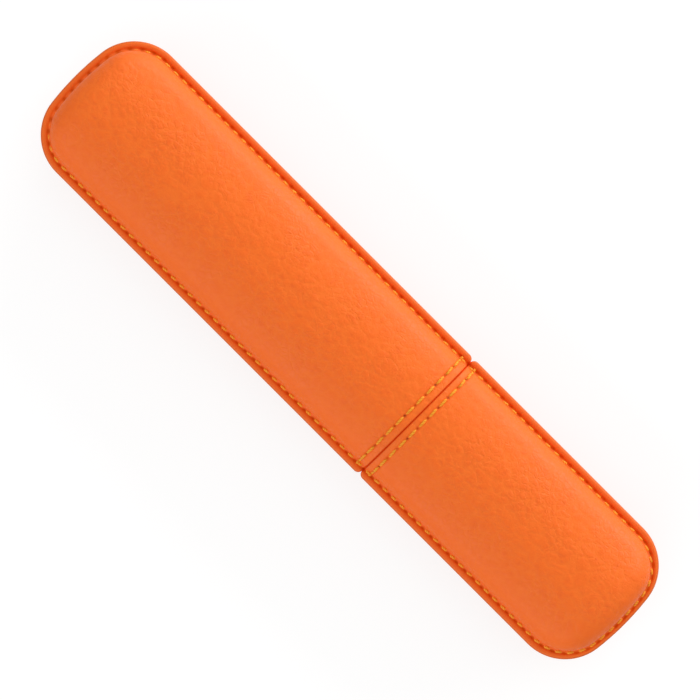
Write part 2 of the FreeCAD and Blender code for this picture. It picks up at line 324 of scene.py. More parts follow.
class HalfPlan:
    """A half in its own frame: mouth at p = 0, closed end at +p, q across and h up from the seam plane."""

    def __init__(self, half, form):
        low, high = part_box(f"{half}_front_leather")
        self.half = half
        self.form = form
        self.length = high.x - low.x
        self.half_width = (high.y - low.y) / 2
        self.top = high.z - SEAM_Z
        self.edge_top = form.leather_thickness + form.lining_thickness
        self.mouth_x = high.x if half == "body" else low.x
        self.mouth_swell = getattr(form, f"{half}_mouth_swell")
        self.end_edge_width = getattr(form, f"{half}_end_edge_width")
        self.bow_p = self.length - form.end_arc_radius
        self.corner_q = self.half_width - form.corner_radius
        corner_reach = form.end_arc_radius - form.corner_radius
        self.corner_p = self.bow_p + math.sqrt(corner_reach**2 - self.corner_q**2)
        self.meet_angle = math.atan2(self.corner_q, self.corner_p - self.bow_p)

    def matrix(self, side):
        """From the half's own frame to the closed case."""
        turn = Matrix.Translation((self.mouth_x, 0, SEAM_Z))
        if self.half == "body":
            turn = turn @ Matrix.Rotation(math.pi, 4, "Z")
        if side == "back":
            turn = turn @ Matrix.Rotation(math.pi, 4, "X")
        return turn

    def hand(self, side):
        """1 where +q is +Y in the closed case, and -1 where it is -Y."""
        return (-1 if self.half == "body" else 1) * (-1 if side == "back" else 1)

    def crown(self, q, inset):
        """Height of the crown at q, for a face inset from the leather's."""
        over = np.maximum(np.abs(q) - self.form.crown_flat_width / 2, 0)
        radius = self.form.crown_radius - inset
        return self.top - inset - radius + np.sqrt(radius**2 - over**2)

    def crown_reach(self, q):
        """Length along the crown from its middle to q, with q's sign."""
        flat = self.form.crown_flat_width / 2
        over = np.maximum(np.abs(q) - flat, 0)
        arc = self.form.crown_radius * np.arcsin(over / self.form.crown_radius)
        return np.sign(q) * (np.minimum(np.abs(q), flat) + arc)

    def columns(self, step, mouth_stations, draw=0.0):
        """Columns from the -q side of the mouth round the closed end to the +q side.

        Each has a place on the outline, its inward direction, the sewn edge's width, how far the mouth's
        round corner cuts in, and the inner end where it meets the level grid over the crown.
        """
        form = self.form
        stations = np.concatenate([mouth_stations, spaced(mouth_stations[-1], self.corner_p, step)[1:]])
        corner_count = math.ceil(form.corner_radius * (math.pi / 2 - self.meet_angle) / step)
        end_count = math.ceil(2 * form.end_arc_radius * self.meet_angle / step)
        turn = np.linspace(math.pi / 2, self.meet_angle, corner_count + 1)[1:-1]
        bow = np.linspace(-self.meet_angle, self.meet_angle, end_count + 1)
        ends = len(stations) + len(turn)

        side_place = np.stack([stations, np.full_like(stations, -self.half_width)], axis=1)
        side_inward = np.tile([0.0, 1.0], (len(stations), 1))
        corner_out = np.stack([np.cos(turn), -np.sin(turn)], axis=1)
        corner_place = np.array([self.corner_p, -self.corner_q]) + form.corner_radius * corner_out
        bow_out = np.stack([np.cos(bow), np.sin(bow)], axis=1)
        bow_place = np.array([self.bow_p, 0.0]) + form.end_arc_radius * bow_out

        ease = ease_between(turn, math.pi / 2, self.meet_angle)
        corner_width = form.side_edge_width + ease * (self.end_edge_width - form.side_edge_width)
        side_width = np.full(len(stations), form.side_edge_width)
        bow_width = np.full(len(bow), self.end_edge_width)
        near_mouth = np.clip(form.mouth_corner_radius - (stations - stations[0]), 0, None)
        side_cut = form.mouth_corner_radius - np.sqrt(form.mouth_corner_radius**2 - near_mouth**2)

        def all_round(side, corner, bow, other_side=1.0):
            over = [(corner * other_side)[::-1], (side * other_side)[::-1]]
            return np.concatenate([side, corner, bow, *over])

        mirrored = np.array([1.0, -1.0])
        place = all_round(side_place, corner_place, bow_place, mirrored)
        inward = all_round(side_inward, -corner_out, -bow_out, mirrored)
        inner = place + form.corner_radius * inward
        return SimpleNamespace(
            place=place,
            inward=inward,
            inner=inner,
            bow_inner=inner[ends:ends + len(bow)],
            stations=stations,
            width=all_round(side_width, corner_width, bow_width) + draw,
            cut=all_round(side_cut, np.zeros(len(turn)), np.zeros(len(bow))),
        )

    def dome_rows(self, foot_q, inward_q, reach, inset, foot_height, rows):
        """Distance in from the foot and height, for rows up the wall, over the shoulder and on the crown.

        The shoulder is where a ball of its radius rests that rolls along the wall under the crown.
        """
        wall_rows, crown_rows = rows
        radius = self.form.shoulder_radius - inset
        tried = np.linspace(0, 2 * radius, BALL_PLACES)
        room = self.crown(foot_q[:, None] + inward_q[:, None] * tried, inset)
        room = room - np.sqrt(np.maximum(radius**2 - (tried - radius) ** 2, 0))
        centre = room.min(axis=1)[:, None]
        touch = tried[room.argmin(axis=1)][:, None]
        turn = np.arccos(np.clip((radius - touch) / radius, -1, 1))
        wall = centre - foot_height[:, None]
        climb = np.linspace(0, 1, wall_rows + 1)[1:] * (wall + radius * turn)
        angle = np.maximum(climb - wall, 0) / radius
        wall_in = radius * (1 - np.cos(angle))
        wall_height = np.where(climb < wall, foot_height[:, None] + climb, centre + radius * np.sin(angle))
        crown_in = touch + np.linspace(0, 1, crown_rows + 1)[1:] * (reach[:, None] - touch)
        crown_height = self.crown(foot_q[:, None] + inward_q[:, None] * crown_in, inset)
        inside = np.concatenate([wall_in, crown_in], axis=1)
        return inside, np.concatenate([wall_height, crown_height], axis=1)

    def section_line(self, inset, foot_height, draw=0.0):
        """Section from the -q foot over the crown to the +q foot, with the length along it."""
        foot = self.half_width - self.form.side_edge_width - inset - draw
        inside, height = self.dome_rows(
            np.array([-foot]), np.array([1.0]), np.array([foot]), inset, np.array([foot_height]),
            (FINE_POINTS, FINE_POINTS),
        )
        half = np.stack([inside[0] - foot, height[0]], axis=1)
        half = np.concatenate([[[-foot, foot_height]], half])
        line = np.concatenate([half, half[-2::-1] * np.array([-1.0, 1.0])])
        return line, run_length(line)

    def face_section(self):
        """Section over the leather's face, as the sewing draws it in."""
        return self.section_line(0, self.edge_top, self.form.foot_draw)


# Mesh helpers

def draped_grid(bm, places, marks):
    """Grid with its vertices at the places, a (columns, rows, 3) array, and marked with named values."""
    columns, rows = places.shape[:2]
    layers = {name: bm.verts.layers.float.get(name) or bm.verts.layers.float.new(name) for name in marks}
    grid = bmesh.ops.create_grid(bm, x_segments=columns - 1, y_segments=rows - 1, size=1.0)
    for vert in grid["verts"]:
        column = round((vert.co.x + 1) / 2 * (columns - 1))
        row = round((vert.co.y + 1) / 2 * (rows - 1))
        vert.co = places[column, row]
        for name, layer in layers.items():
            vert[layer] = marks[name][column, row]


def write_marks(bm, marks):
    """Named values on all vertices."""
    layers = bm.verts.layers.float
    for name, values in marks.items():
        layer = layers.get(name) or layers.new(name)
        for vert, value in zip(bm.verts, values):
            vert[layer] = value


def drop_marks(bm, names):
    """Takes named values off the vertices."""
    layers = bm.verts.layers.float
    for name in names:
        layers.remove(layers.get(name))


def fill_open_edges(bm):
    """Closes each open edge loop with one flat face."""
    bmesh.ops.holes_fill(bm, edges=[edge for edge in bm.edges if edge.is_boundary], sides=0)


def smooth_quads(bm):
    """Shades the four-sided faces smooth and leaves the flat closing faces plain."""
    for face in bm.faces:
        face.smooth = len(face.verts) == 4


def finished_piece(bm, name, matrix, *materials):
    """Object at the origin from a mesh in its own frame."""
    bm.transform(matrix)
    mesh = bpy.data.meshes.new(name)
    bm.to_mesh(mesh)
    bm.free()
    for material in materials:
        mesh.materials.append(material)
    mesh.set_sharp_from_angle(angle=SHARP_ANGLE)
    piece = bpy.data.objects.new(name, mesh)
    bpy.context.scene.collection.objects.link(piece)
    return piece


def seat(piece, body, slot, *nodes):
    """Lets a piece ride on its body in place of its CAD nodes."""
    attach(piece, body)
    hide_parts(*nodes)


def dress_node(name, material):
    """Gives a CAD node that stays its material."""
    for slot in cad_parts[name].material_slots:
        slot.material = material


# Leather panels and linings

def mouth_stations(plan, sewing, step):
    """Places along the half from the mouth, close together over its rolled edge and its row of stitches."""
    roll_steps, row_reach = 6, 4
    angles = np.linspace(0, math.pi / 2, roll_steps + 1)
    roll = plan.form.mouth_roll * (1 - np.cos(angles)) - plan.mouth_swell
    row_end = sewing.mouth_margin + row_reach * sewing.mouth_half_width
    return np.concatenate([roll, spaced(roll[-1], row_end, step / 2)[1:]])


def leather_edge(columns, plan):
    """Sewn edge of a leather panel, from its inner wall's foot round the rim to its face's foot."""
    round_points, face_rows = 6, 10
    form = plan.form
    cut = columns.cut[:, None]
    width = columns.width[:, None]
    arc = np.linspace(0, math.pi / 2, round_points)
    rim_in = np.concatenate([[form.edge_lip, form.edge_lip, 0, 0], form.edge_round * (1 - np.cos(arc))])
    rim_height = np.array([form.lining_thickness, 0, 0, form.lining_thickness])
    rim_height = np.concatenate([rim_height, plan.edge_top - form.edge_round * (1 - np.sin(arc))])
    face = np.linspace(0, 1, face_rows + 1)[1:]
    face_in = cut + form.edge_round + face * (width - cut - form.edge_round)
    channel = bell((face_in - width + form.groove_offset) / form.seam_half_width)
    inside = np.concatenate([width + form.leather_thickness, cut + rim_in, face_in], axis=1)
    level = np.ones_like(width)
    height = [level * form.lining_thickness, level * rim_height, plan.edge_top - form.seam_depth * channel]
    painted = np.zeros(inside.shape[1])
    painted[1:len(rim_in) - 1] = 1
    return inside, np.concatenate(height, axis=1), painted


def lining_edge(columns, plan):
    """Flat edge of a lining, from its inner wall's foot round the rim to its back's foot."""
    form = plan.form
    width = columns.width[:, None]
    rim = columns.cut[:, None] + form.edge_lip
    level = np.ones_like(width)
    inside = [width + form.lining_inset + form.lining_thickness, rim, rim, width + form.lining_inset]
    inside = np.concatenate(inside, axis=1)
    height = level * np.array([0, 0, form.lining_thickness, form.lining_thickness])
    return inside, height, np.zeros(inside.shape[1])


def seam_line(columns, sewing, hand):
    """Line of the seam round the sewn edge, in plan, with the length along it."""
    offset = sewing.seam_offset + hand * sewing.seam_lean * columns.inward[:, 1]
    line = columns.place + columns.inward * (columns.width - offset)[:, None]
    return line, run_length(line)


def panel_mesh(plan, columns, edge, insets, rows, along_seam):
    """Moulded panel: its back, flat edge and face in one band round a grid over each side of the crown.

    The vertices are marked with their distance from the face's foot, up the wall or, below 0, out on the
    edge, the length along the seam and across from the crown's middle, and whether they are on the face or
    the painted rim.
    """
    edge_in, edge_height, painted = edge
    width = columns.width[:, None]
    inward_q = columns.inward[:, 1]
    foot_q = columns.place[:, 1] + inward_q * columns.width
    reach = plan.form.corner_radius - columns.width

    def dome(inset, foot_height, dome_rows):
        inside, height = plan.dome_rows(
            foot_q + inward_q * inset, inward_q, reach - inset, inset, foot_height, dome_rows
        )
        return inside + width + inset, height

    face_in, face_height = dome(insets[0], edge_height[:, -1], rows[0])
    back_in, back_height = dome(insets[1], edge_height[:, 0], rows[1])
    inside = np.concatenate([back_in[:, ::-1], edge_in, face_in], axis=1)
    height = np.concatenate([back_height[:, ::-1], edge_height, face_height], axis=1)
    plan_place = columns.place[:, None, :] + columns.inward[:, None, :] * inside[:, :, None]
    places = np.concatenate([plan_place, height[:, :, None]], axis=2)

    edge_start = back_in.shape[1]
    edge_end = edge_start + edge_in.shape[1]
    start = np.zeros((len(inside), 1))
    steps = np.hypot(np.diff(inside, axis=1), np.diff(height, axis=1))
    steps[:, :edge_end - 1] = 0
    climb = np.concatenate([start, np.cumsum(steps, axis=1)], axis=1)
    to_inner = np.concatenate([np.cumsum(steps[:, ::-1], axis=1)[:, ::-1], start], axis=1)
    inner_reach = np.abs(plan.crown_reach(columns.inner[:, 1]))[:, None]
    on_face = np.zeros(inside.shape)
    on_face[:, edge_start + 1:] = 1
    rim = np.zeros(inside.shape)
    rim[:, edge_start:edge_end] = painted
    band_marks = (
        np.where(climb > 0, climb, inside - width - insets[0]),
        np.repeat(along_seam[:, None], inside.shape[1], axis=1),
        np.sign(columns.place[:, 1])[:, None] * (inner_reach + to_inner),
        on_face,
        rim,
    )

    bm = bmesh.new()
    draped_grid(bm, places, dict(zip(FACE_MARKS, band_marks)))
    stations = columns.stations
    share = (stations - stations[0]) / (plan.corner_p - stations[0])
    grid_p = stations[:, None] + share[:, None] * (columns.bow_inner[None, :, 0] - plan.corner_p)
    grid_q = np.repeat(columns.bow_inner[None, :, 1], len(stations), axis=0)
    level = np.ones(grid_q.shape)
    for inset, is_face in zip(insets, (1, 0)):
        grid = np.stack([grid_p, grid_q, plan.crown(grid_q, inset)], axis=2)
        grid = grid if is_face else grid[:, ::-1]
        grid_marks = (
            plan.form.corner_radius * level, 0 * level, plan.crown_reach(grid_q), is_face * level, 0 * level
        )
        draped_grid(bm, grid, dict(zip(FACE_MARKS, grid_marks)))
    bmesh.ops.remove_doubles(bm, verts=bm.verts, dist=MERGE_DISTANCE)
    return bm


def pebble_valleys(place, size, seed):
    """Valleys between pebbles of the size, and between smaller ones: 1 in a valley and 0 on a pebble."""
    wander, wander_scale, small_scale = 0.5, 0.9, 2.3
    large_sharpness, small_sharpness = 7.0, 4.0
    spot = place / size + seed
    spot = spot + wander * noise.noise_vector(wander_scale * spot)
    large = noise.voronoi(spot)[0]
    small = noise.voronoi(small_scale * spot)[0]
    valleys = ((large, large_sharpness), (small, small_sharpness))
    return [math.exp(-sharpness * (second - first)) for (first, second, *_), sharpness in valleys]


def pore_depth(place, size, seed):
    """Scattered pores: 1 in a pore and 0 beside it."""
    pore_from, pore_to = 0.2, 0.6
    return ease_between(noise.noise(place / size - seed), pore_from, pore_to)


def crease_depth(place, size, seed):
    """Long fine creases that wander mostly along the case: 1 in a crease and 0 beside it."""
    stretch, crease_width = 1.8, 0.07
    smoothness, gap, octaves = 1.0, 2.0, 2
    spot = Vector((place.x / (stretch * size), place.y / size, place.z / size)) - seed
    return math.exp(-((noise.fractal(spot, smoothness, gap, octaves) / crease_width) ** 2))


def wrinkle_height(place, size, seed):
    """Soft wrinkles that run mostly across the case, from about -1 to 1."""
    stretch = 2.5
    smoothness, gap, octaves = 0.8, 2.0, 3
    spot = Vector((place.x / size, place.y / (stretch * size), place.z / (stretch * size))) + seed
    return noise.fractal(spot, smoothness, gap, octaves)


def grain_at(place, leather, seed):
    """Height of the grain at a place, and how deep that lies between large pebbles and in a pore."""
    large_share, small_share = 0.8, 0.2
    large, small = pebble_valleys(place, leather.pebble_size, seed)
    pore = pore_depth(place, leather.pore_size, seed)
    height = leather.wrinkle_depth * wrinkle_height(place, leather.wrinkle_size, seed)
    height -= leather.crease_depth * crease_depth(place, leather.crease_size, seed)
    height -= leather.pebble_depth * (large_share * large + small_share * small) + leather.pore_depth * pore
    return height, large, pore


def read_marks(bm, plan, hand):
    """The vertices' marks as arrays, with how far they lie from the mouth, its rim and the middle line."""
    side_gain = 1.15
    layers = [bm.verts.layers.float.get(name) for name in FACE_MARKS]
    values = np.array([[vert[layer] for layer in layers] for vert in bm.verts])
    at = SimpleNamespace(**dict(zip(FACE_MARKS, values.T)))
    places = np.array([vert.co for vert in bm.verts], dtype=float)
    at.from_mouth = places[:, 0]
    at.from_rim = at.from_mouth + plan.mouth_swell
    at.towards = hand * np.clip(side_gain * places[:, 1] / plan.half_width, -1, 1)
    at.closed = ease_between(at.from_mouth, plan.corner_p, plan.length)
    return at


def sewn_marks(at, plan, settings, dice):
    """How far each vertex lies in a row, the channel, a gap between stitches, a needle hole or a pucker."""
    gap_stretch, hole_sharpness = 1.8, 1.5
    form, sewing = settings.form, settings.sewing
    row_total = plan.face_section()[1][-1]
    row_spacing = even_spacing(row_total, sewing.mouth_pitch)[1]
    edge_spacing = even_spacing(at.along_seam.max(), sewing.edge_pitch)[1]
    from_row = at.from_mouth - sewing.mouth_margin
    row_run = at.across_crown + row_total / 2
    on_dome = ease_between(at.from_foot, 0, form.seam_half_width)
    row_needle = on_dome * bell(to_nearest(row_run, row_spacing) / sewing.needle_radius)
    row_needle = row_needle * bell(from_row / sewing.needle_radius)
    row_hole = row_needle**hole_sharpness * varied(dice, row_run / row_spacing)

    from_foot = at.from_foot + (sewing.end_shift * at.closed if plan.half == "cap" else 0.0)
    hole_line = sewing.seam_offset - sewing.seam_lean * at.towards
    gap_line = form.groove_offset + sewing.seam_lean / 2 * at.towards
    between = bell(to_nearest(at.along_seam, edge_spacing) / (gap_stretch * sewing.needle_radius))
    edge_needle = between * bell((from_foot + hole_line) / sewing.needle_radius)
    swell = np.sin(np.pi * at.along_seam / edge_spacing) ** 2 - 0.5
    return SimpleNamespace(
        row=on_dome * bell(from_row / sewing.mouth_half_width),
        row_needle=row_needle,
        row_hole=row_hole,
        channel=bell((from_foot + form.groove_offset) / form.seam_half_width),
        edge_needle=edge_needle,
        edge_gap=between * bell((from_foot + gap_line) / sewing.needle_radius),
        edge_hole=edge_needle * varied(dice, at.along_seam / edge_spacing),
        pucker=swell * bell((at.from_foot - 2 * sewing.seam_offset) / (2 * sewing.seam_offset)),
    )


def shade_marks(at, sewn, plan):
    """Painted shade and painted highlight of the leather, and its edge paint, from 0 to 1."""
    channel_shade, gap_shade, row_shade = 0.12, 0.75, 0.4
    channel_end_loss, gap_end_loss = 0.6, 0.25
    edge_hole_shade, bare_hole_shade, row_hole_shade = 0.15, 0.3, 0.9
    mouth_shade, mouth_shade_reach, mouth_paint_start = 0.95, 0.75, 0.3
    flange_paint, flange_highlight = 0.25, 0.9
    form = plan.form
    # Painted shade on the rolled edges at the mouth, where the halves meet
    mouth = mouth_shade * (1 - ease_between(at.from_rim, 0, mouth_shade_reach * form.mouth_roll))
    # The channel's painted shade is stronger towards +Y, where the raised rim shades it from the key light,
    # and weaker at the closed ends
    channel = channel_shade * (1 + at.towards) * (1 - channel_end_loss * at.closed) * sewn.channel
    # Painted shade in the gaps between the stitches round the edge and along the mouths' rows
    gaps = (gap_shade - gap_end_loss * at.closed) * sewn.edge_gap + row_shade * sewn.row_needle
    # Painted shade in the needle holes, deeper at the body's closed end where the thread sinks out of sight
    bare = at.closed if plan.half == "body" else 0.0
    holes = (edge_hole_shade + bare_hole_shade * bare) * sewn.edge_hole + row_hole_shade * sewn.row_hole
    # The sewn edge gets a little edge paint and a painted highlight in the line colour
    flange = at.on_face * (1 - ease_between(at.from_foot, -form.groove_offset, 0))
    rolled = 1 - ease_between(at.from_rim, mouth_paint_start * form.mouth_roll, form.mouth_roll)
    return {
        "seam_shade": at.on_face * np.clip(channel + gaps + mouth, 0, 1),
        "needle_hole": at.on_face * np.clip(holes, 0, 1),
        "mouth_edge": at.on_face * mouth,
        "edge_paint": np.maximum.reduce([at.edge_paint, at.on_face * rolled, flange_paint * flange]),
        "grain_line": flange_highlight * flange,
    }


def grain_share(at, sewn, plan, above_foot):
    """How much grain shows: less in the rows and on the flanks, none at the mouth and on the sewn edge."""
    row_loss, flank_loss = 0.5, 0.45
    flank_start, flank_end = 0.45 * plan.half_width, 0.8 * plan.half_width
    share = above_foot * (1 - row_loss * sewn.row) * ease_between(at.from_rim, 0, plan.form.mouth_roll)
    flank = ease_between(np.abs(at.across_crown), flank_start, flank_end)
    return at.on_face * share * (1 - flank_loss * flank)


def shape_leather(bm, plan, settings, seed, dice, hand):
    """Sculpts the face: rolled mouth, sewn rows with their needle holes, puckers, wrinkles and grain."""
    foot_roll = 0.3
    form, leather, sewing = settings.form, settings.leather, settings.sewing
    bm.normal_update()
    at = read_marks(bm, plan, hand)
    sewn = sewn_marks(at, plan, settings, dice)
    marks = shade_marks(at, sewn, plan)
    above_foot = ease_between(at.from_foot, 0, form.foot_fade)
    share = grain_share(at, sewn, plan, above_foot)
    into_roll = np.clip(form.mouth_roll - at.from_rim, 0, form.mouth_roll)
    roll = form.mouth_roll - np.sqrt(form.mouth_roll**2 - into_roll**2)
    lift = -roll * (foot_roll + (1 - foot_roll) * above_foot) - sewing.mouth_depth * sewn.row
    lift = lift - sewing.needle_depth * (sewn.row_needle + sewn.edge_needle / 2)
    lift = lift + leather.pucker_depth * sewn.pucker
    lengthwise = ease_between(at.from_rim, 0, form.mouth_corner_radius)

    marks.update(grain_pore=np.zeros(len(share)), grain_share=share)
    for index, vert in enumerate(bm.verts):
        if not at.on_face[index]:
            continue
        height = lift[index]
        if share[index] > 0:
            grain, valley, pore = grain_at(vert.co, leather, seed)
            height += share[index] * grain
            # The valleys between the large pebbles get a painted highlight in the line colour
            marks["grain_line"][index] = share[index] * valley
            marks["grain_pore"][index] = share[index] * pore
        push = vert.normal * height
        push.x *= lengthwise[index]
        vert.co += push
    drop_marks(bm, FACE_MARKS)
    write_marks(bm, marks)


# Stitches

def stitch_mesh(length, width, height, bow):
    """One stitch along x: a flattened tube, bowed to one side, that dives into the leather at both ends."""
    sides, spans, end_slimming = 8, 6, 0.35
    bm = bmesh.new()
    wrap = bm.loops.layers.uv.new("wrap")
    ring = bmesh.ops.create_circle(bm, segments=sides, radius=0.5)["verts"]
    bmesh.ops.rotate(bm, verts=ring, cent=(0, 0, 0), matrix=Matrix.Rotation(math.pi / 2, 3, "Y"))
    edges = list(bm.edges)
    bmesh.ops.translate(bm, verts=ring, vec=(-0.5, 0, 0))
    for _ in range(spans):
        made = bmesh.ops.extrude_edge_only(bm, edges=edges)["geom"]
        ring = [item for item in made if isinstance(item, bmesh.types.BMVert)]
        edges = [item for item in made if isinstance(item, bmesh.types.BMEdge)]
        bmesh.ops.translate(bm, verts=ring, vec=(1 / spans, 0, 0))
    fill_open_edges(bm)
    bmesh.ops.recalc_face_normals(bm, faces=bm.faces)
    for face in bm.faces:
        middle = math.atan2(face.calc_center_median().y, face.calc_center_median().z)
        for loop in face.loops:
            angle = math.atan2(loop.vert.co.y, loop.vert.co.z)
            angle = middle + math.remainder(angle - middle, 2 * math.pi)
            loop[wrap].uv = (loop.vert.co.x + 0.5, angle / (2 * math.pi))
    for vert in bm.verts:
        out = 2 * abs(vert.co.x)
        slim = 1 - end_slimming * out**3
        aside = bow * (1 - out**2)
        dive = height * out**4
        vert.co = (vert.co.x * length, vert.co.y * width * slim + aside, vert.co.z * height * slim - dive)
    return bm


def sewn_row(name, frames, shape, material):
    """One object of stitches, each a copy of the shape laid in its own frame."""
    mesh = bpy.data.meshes.new(f"{name}_stitch")
    shape.to_mesh(mesh)
    shape.free()
    bm = bmesh.new()
    for matrix in frames:
        before = len(bm.verts)
        bm.from_mesh(mesh)
        bm.verts.ensure_lookup_table()
        bmesh.ops.transform(bm, matrix=matrix, verts=bm.verts[before:])
    bpy.data.meshes.remove(mesh)
    return finished_piece(bm, name, Matrix.Identity(4), material)


def stitch_frame(middle, along, up):
    """Frame at the middle of a stitch, with x along it and z out of the leather."""
    along = along.normalized()
    side = up.cross(along).normalized()
    frame_rows = Matrix((along, side, along.cross(side))).transposed().to_4x4()
    return Matrix.Translation(middle) @ frame_rows


def stitch_places(line, lengths, pitch):
    """Evenly spaced stitches along a line: a place before, at and after the middle of each."""
    count, spacing = even_spacing(lengths[-1], pitch)
    for number in range(count):
        middle = (number + 0.5) * spacing
        yield at_length(line, lengths, np.array([middle - spacing / 4, middle, middle + spacing / 4]))


def edge_frames(plan, settings, dice):
    """Frames of the stitches round a half, on the front and on the back."""
    proud_share, most_slant = 0.25, 2
    form, sewing = settings.form, settings.sewing
    columns = plan.columns(settings.leather.mesh_step, np.array([0.0, form.mouth_roll]), form.foot_draw)
    height = plan.edge_top - form.seam_depth + proud_share * sewing.thread_height
    frames = []
    for side in SIDES:
        line, lengths = seam_line(columns, sewing, plan.hand(side))
        for before, _, after in stitch_places(line, lengths, sewing.edge_pitch):
            start, end = Vector((*before, height)), Vector((*after, height))
            closed = ease_between(start.x, plan.corner_p, plan.length)
            sunk, shifted = (0, 0, -sewing.end_sink * closed), (0, -sewing.end_shift * closed, 0)
            aside = Matrix.Translation(sunk if plan.half == "body" else shifted)
            lean = Matrix.Rotation(sewing.edge_slant * dice.uniform(0, most_slant), 4, "Z")
            laid = stitch_frame((start + end) / 2, end - start, UP)
            frames.append(plan.matrix(side) @ laid @ aside @ lean)
    return frames


def mouth_frames(plan, settings, side, dice):
    """Frames of the row of stitches across one panel at its mouth, and of the stitches that tie it down."""
    proud_share, slant_range = 0.3, (-2, 7)
    sewing = settings.sewing
    sunk = sewing.mouth_depth - proud_share * sewing.thread_height
    frames = []
    for places in stitch_places(*plan.face_section(), sewing.mouth_pitch):
        before, middle, after = (Vector((sewing.mouth_margin, *place)) for place in places)
        along = after - before
        up = Vector((1, 0, 0)).cross(along).normalized()
        lean = Matrix.Rotation(math.radians(dice.uniform(*slant_range)), 4, "Z")
        frames.append(stitch_frame(middle - up * sunk, along, up) @ lean)
    return [plan.matrix(side) @ laid for laid in frames + tie_frames(plan, settings)]


def tie_frames(plan, settings):
    """Frames of the short stitches that tie a mouth's row down on the sewn edge, at both feet of the form.

    One runs on from the row over the edge, and one lies along the seam between the row and the mouth.
    """
    length_share, over_lean, beside_lean = 0.5, -0.2, 0.1
    form, sewing = settings.form, settings.sewing
    foot = plan.half_width - form.side_edge_width - form.foot_draw
    short = Matrix.Diagonal((length_share, 1, 1, 1))
    frames = []
    for hand in (-1, 1):
        over = Vector((sewing.mouth_margin, hand * (foot + sewing.seam_offset), plan.edge_top))
        beside = Vector((sewing.mouth_margin / 2, hand * (foot + sewing.seam_offset / 2), plan.edge_top))
        beside.z -= sewing.thread_height / 2
        frames.append(stitch_frame(over, Vector((over_lean, hand, 0)), UP) @ short)
        frames.append(stitch_frame(beside, Vector((1, hand * beside_lean, 0)), UP) @ short)
    return frames


# Inner sleeve

def sleeve_outline(plan, inset, count):
    """Closed section of the sleeve at an inset, as even places across and up from the seam plane."""
    upper = plan.section_line(inset, 0.0)[0]
    lower = upper[-2:0:-1] * np.array([1.0, -1.0])
    loop = np.concatenate([upper, lower, upper[:1]])
    lengths = run_length(loop)
    return at_length(loop, lengths, np.linspace(0, lengths[-1], count + 1))


def tube_mesh(plan, rows, count):
    """Tube through rows of (place along x, inset), closed back to the first row."""
    rings = []
    for x, inset in list(rows) + [rows[0]]:
        outline = sleeve_outline(plan, inset, count)
        rings.append(np.stack([np.full(count + 1, x), outline[:, 0], outline[:, 1] + SEAM_Z], axis=1))
    bm = bmesh.new()
    draped_grid(bm, np.stack(rings, axis=1), {})
    bmesh.ops.remove_doubles(bm, verts=bm.verts, dist=MERGE_DISTANCE)
    bmesh.ops.recalc_face_normals(bm, faces=bm.faces)
    smooth_quads(bm)
    return bm


def inset_of(plan, node):
    """Inset of the outside of a sleeve's node, from its width in the frame."""
    low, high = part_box(node)
    return plan.half_width - plan.form.side_edge_width - (high.y - low.y) / 2


def cover_rows(plan, inside):
    """Rows of the sleeve's leather: along its outside, round the mouth, over the fold and back under it."""
    rim_points = 9
    low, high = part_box("sleeve_cover")
    outer = inset_of(plan, "sleeve_cover")
    fold_outer = inset_of(plan, "sleeve_lining")
    bore = fold_outer + plan.form.lining_thickness
    under = outer + inside.sleeve_cover_thickness
    rim_radius = (bore - outer) / 2
    rim_x = high.x - rim_radius
    fold_x = high.x - inside.sleeve_fold_depth
    stop_x = high.x - inside.sleeve_cover_thickness
    angles = np.linspace(math.pi / 2, -math.pi / 2, rim_points)[1:]
    rows = [(x, outer) for x in spaced(low.x, rim_x, inside.sleeve_mesh_step)]
    rows += [(rim_x + rim_radius * math.cos(a), outer + rim_radius * (1 - math.sin(a))) for a in angles]
    rows += [(x, bore) for x in spaced(rim_x, fold_x, inside.sleeve_mesh_step)[1:]]
    return rows + [(fold_x, fold_outer), (stop_x, fold_outer), (stop_x, under), (low.x, under)]


def lining_rows(plan, inside):
    """Rows of the sleeve's lining, a plain tube."""
    coarseness = 4
    low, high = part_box("sleeve_lining")
    outer = inset_of(plan, "sleeve_lining")
    bore = outer + plan.form.lining_thickness
    places = spaced(low.x, high.x, coarseness * inside.sleeve_mesh_step)
    return [(x, outer) for x in places] + [(x, bore) for x in places[::-1]]


# Node helpers

def feed(tree, node, inputs):
    """Links a node's inputs to the sockets given for them, or sets them to the values given."""
    for name, value in inputs.items():
        if isinstance(value, bpy.types.NodeSocket):
            tree.links.new(value, node.inputs[name])
        else:
            node.inputs[name].default_value = value


def add_node(tree, kind, inputs=None, **settings):
    """Node with its settings and inputs."""
    node = tree.nodes.new(kind)
    for name, value in settings.items():
        setattr(node, name, value)
    feed(tree, node, inputs or {})
    return node


def calculate(tree, operation, first, second, clamp=False):
    """Output of a Math node on two sockets or numbers."""
    node = add_node(tree, "ShaderNodeMath", {0: first, 1: second}, operation=operation, use_clamp=clamp)
    return node.outputs[0]


def plus(tree, first, second, clamp=False):
    """Sum of two sockets or numbers."""
    return calculate(tree, "ADD", first, second, clamp)


def times(tree, first, second):
    """Product of two sockets or numbers."""
    return calculate(tree, "MULTIPLY", first, second)


def shifted(tree, operation, inputs):
    """Output of a Vector Math node."""
    return add_node(tree, "ShaderNodeVectorMath", inputs, operation=operation).outputs[0]


def mixed(tree, factor, first, second):
    """Output of a colour Mix node on two sockets or colours."""
    colours = {MIX_FACTOR: factor, MIX_A: first, MIX_B: second}
    return add_node(tree, "ShaderNodeMix", colours, data_type="RGBA").outputs[MIX_RESULT]


